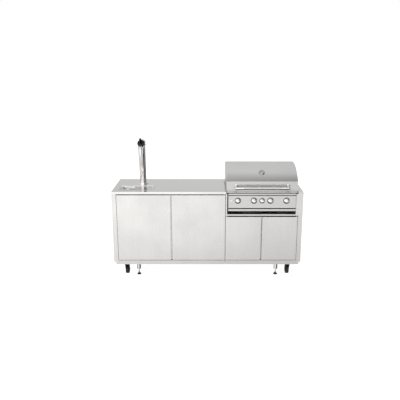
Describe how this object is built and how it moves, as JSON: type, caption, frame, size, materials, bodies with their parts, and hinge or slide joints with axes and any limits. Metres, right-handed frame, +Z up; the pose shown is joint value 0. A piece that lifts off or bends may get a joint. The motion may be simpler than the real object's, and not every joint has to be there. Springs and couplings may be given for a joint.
{
  "type": "outdoor kitchen island",
  "caption": "Stainless steel outdoor kitchen island on castors and levelling feet, with a beer column and drip tray, cabinet doors and a built-in gas grill under a hinged hood.",
  "frame": {"origin": "on the floor, below the middle of the whole island with its handle", "axes": "+X along the front to the right, +Y from front to back, +Z up"},
  "size_m": [2.1, 0.697, 1.5376],
  "materials": {
    "worktop_steel": "fine brushed, satin",
    "panel_steel": "brushed",
    "door_steel": "brushed, pale",
    "hood_steel": "brushed along its length",
    "inner_steel": "mill",
    "polished_steel": "polished",
    "chrome_trim": "polished chrome",
    "brass_fittings": "machined",
    "cast_grate": "enamelled, matt",
    "black_coating": "black coating",
    "black_gloss": "gloss black",
    "wheel_rubber": "matt",
    "foot_rubber": "matt"
  },
  "bodies": {
    "island": {"worktop": "worktop_steel", "left_side_panel": "panel_steel", "right_side_panel": "panel_steel", "left_module_wall": "inner_steel", "grill_module_wall": "panel_steel", "left_back_panel": "panel_steel", "grill_back_panel": "panel_steel", "left_floor_pan": "panel_steel", "grill_floor_pan": "panel_steel", "top_front_rail": "inner_steel", "grill_mid_rail": "panel_steel", "left_base_frame": "panel_steel", "right_base_frame": "panel_steel", "leg_tubes": "polished_steel", "castor_plates": "black_coating", "firebox": "inner_steel", "front_ledge": "panel_steel", "control_panel": "panel_steel", "knob_bezels": "chrome_trim", "gas_manifold": "brass_fittings", "burner_tubes": "inner_steel", "flame_tamers": "inner_steel", "cooking_grates": "cast_grate", "rear_burner": "inner_steel", "hood_hinge_brackets": "inner_steel", "beer_column": "chrome_trim", "tap_badge": "black_gloss", "tap_body": "chrome_trim", "drip_pan": "polished_steel", "door_pivot_pins": "polished_steel"},
    "hood": {"hood_shell": "hood_steel", "hood_handle_bar": "panel_steel", "hood_handle_ends": "chrome_trim", "thermometer": "polished_steel"},
    "left_door": {"left_door": "door_steel"},
    "middle_door": {"middle_door": "door_steel"},
    "lower_left_door": {"lower_left_door": "door_steel"},
    "lower_right_door": {"lower_right_door": "door_steel"},
    "igniter_button": {"igniter_button": "chrome_trim"},
    "grease_tray": {"grease_tray": "panel_steel"},
    "tap_handle": {"tap_handle": "black_gloss"},
    "flow_lever": {"flow_lever": "chrome_trim"},
    "drip_grate": {"drip_grate": "polished_steel"},
    "knob_1": {"knob_1": "chrome_trim"},
    "knob_2": {"knob_2": "chrome_trim"},
    "knob_3": {"knob_3": "chrome_trim"},
    "knob_4": {"knob_4": "chrome_trim"},
    "knob_5": {"knob_5": "chrome_trim"},
    "front_left_castor": {"front_left_castor_fork": "black_coating"},
    "front_left_wheel": {"front_left_wheel": "wheel_rubber"},
    "front_left_foot": {"front_left_foot": "foot_rubber"},
    "front_right_castor": {"front_right_castor_fork": "black_coating"},
    "front_right_wheel": {"front_right_wheel": "wheel_rubber"},
    "front_right_foot": {"front_right_foot": "foot_rubber"},
    "back_left_castor": {"back_left_castor_fork": "black_coating"},
    "back_left_wheel": {"back_left_wheel": "wheel_rubber"},
    "back_left_foot": {"back_left_foot": "foot_rubber"},
    "back_right_castor": {"back_right_castor_fork": "black_coating"},
    "back_right_wheel": {"back_right_wheel": "wheel_rubber"},
    "back_right_foot": {"back_right_foot": "foot_rubber"}
  },
  "joints": [
    {"name": "hood_hinge", "type": "hinge", "parent": "island", "child": "hood", "pos_m": [0.6, 0.2235, 1.012], "axis": [-1, 0, 0], "range_deg": [0, 85]},
    {"name": "left_door_hinge", "type": "hinge", "parent": "island", "child": "left_door", "pos_m": [-0.983, -0.2945, 0.5695], "axis": [0, 0, -1], "range_deg": [0, 100]},
    {"name": "middle_door_hinge", "type": "hinge", "parent": "island", "child": "middle_door", "pos_m": [0.184, -0.2945, 0.5695], "axis": [0, 0, 1], "range_deg": [0, 90]},
    {"name": "lower_left_door_hinge", "type": "hinge", "parent": "island", "child": "lower_left_door", "pos_m": [0.216, -0.2945, 0.4465], "axis": [0, 0, -1], "range_deg": [0, 90]},
    {"name": "lower_right_door_hinge", "type": "hinge", "parent": "island", "child": "lower_right_door", "pos_m": [0.983, -0.2945, 0.4465], "axis": [0, 0, 1], "range_deg": [0, 100]},
    {"name": "knob_1_turn", "type": "hinge", "parent": "island", "child": "knob_1", "pos_m": [0.334, -0.3115, 0.886], "axis": [0, -1, 0], "range_deg": [0, 225]},
    {"name": "knob_2_turn", "type": "hinge", "parent": "island", "child": "knob_2", "pos_m": [0.51, -0.3115, 0.886], "axis": [0, -1, 0], "range_deg": [0, 225]},
    {"name": "knob_3_turn", "type": "hinge", "parent": "island", "child": "knob_3", "pos_m": [0.6, -0.3115, 0.886], "axis": [0, -1, 0], "range_deg": [0, 225]},
    {"name": "knob_4_turn", "type": "hinge", "parent": "island", "child": "knob_4", "pos_m": [0.69, -0.3115, 0.886], "axis": [0, -1, 0], "range_deg": [0, 225]},
    {"name": "knob_5_turn", "type": "hinge", "parent": "island", "child": "knob_5", "pos_m": [0.866, -0.3115, 0.886], "axis": [0, -1, 0], "range_deg": [0, 225]},
    {"name": "igniter_press", "type": "slide", "parent": "island", "child": "igniter_button", "axis": [0, 1, 0], "range_m": [0, 0.003], "stiffness_N_per_m": 400},
    {"name": "grease_tray_slide", "type": "slide", "parent": "island", "child": "grease_tray", "axis": [0, -1, 0], "range_m": [0, 0.35]},
    {"name": "tap_handle_pull", "type": "hinge", "parent": "island", "child": "tap_handle", "pos_m": [-0.744, -0.0265, 1.4405], "axis": [1, 0, 0], "range_deg": [0, 40]},
    {"name": "flow_lever_turn", "type": "hinge", "parent": "island", "child": "flow_lever", "pos_m": [-0.727, -0.0265, 1.416], "axis": [1, 0, 0], "range_deg": [0, 60]},
    {"name": "drip_grate_lift", "type": "slide", "parent": "island", "child": "drip_grate", "axis": [0, 0, 1], "range_m": [0, 0.12]},
    {"name": "front_left_castor_swivel", "type": "hinge", "parent": "island", "child": "front_left_castor", "pos_m": [-0.9135, -0.2385, 0.1147], "axis": [0, 0, 1], "continuous": true},
    {"name": "front_left_wheel_roll", "type": "hinge", "parent": "front_left_castor", "child": "front_left_wheel", "pos_m": [-0.9135, -0.2105, 0.0515], "axis": [1, 0, 0], "continuous": true},
    {"name": "front_right_castor_swivel", "type": "hinge", "parent": "island", "child": "front_right_castor", "pos_m": [0.9135, -0.2385, 0.1147], "axis": [0, 0, 1], "continuous": true},
    {"name": "front_right_wheel_roll", "type": "hinge", "parent": "front_right_castor", "child": "front_right_wheel", "pos_m": [0.9135, -0.2105, 0.0515], "axis": [1, 0, 0], "continuous": true},
    {"name": "back_left_castor_swivel", "type": "hinge", "parent": "island", "child": "back_left_castor", "pos_m": [-0.9135, 0.2855, 0.1147], "axis": [0, 0, 1], "continuous": true},
    {"name": "back_left_wheel_roll", "type": "hinge", "parent": "back_left_castor", "child": "back_left_wheel", "pos_m": [-0.9135, 0.2575, 0.0515], "axis": [1, 0, 0], "continuous": true},
    {"name": "back_right_castor_swivel", "type": "hinge", "parent": "island", "child": "back_right_castor", "pos_m": [0.9135, 0.2855, 0.1147], "axis": [0, 0, 1], "continuous": true},
    {"name": "back_right_wheel_roll", "type": "hinge", "parent": "back_right_castor", "child": "back_right_wheel", "pos_m": [0.9135, 0.2575, 0.0515], "axis": [1, 0, 0], "continuous": true},
    {"name": "front_left_foot_screw", "type": "slide", "parent": "island", "child": "front_left_foot", "axis": [0, 0, 1], "range_m": [-0.015, 0.02]},
    {"name": "front_right_foot_screw", "type": "slide", "parent": "island", "child": "front_right_foot", "axis": [0, 0, 1], "range_m": [-0.015, 0.02]},
    {"name": "back_left_foot_screw", "type": "slide", "parent": "island", "child": "back_left_foot", "axis": [0, 0, 1], "range_m": [-0.015, 0.02]},
    {"name": "back_right_foot_screw", "type": "slide", "parent": "island", "child": "back_right_foot", "axis": [0, 0, 1], "range_m": [-0.015, 0.02]}
  ]
}
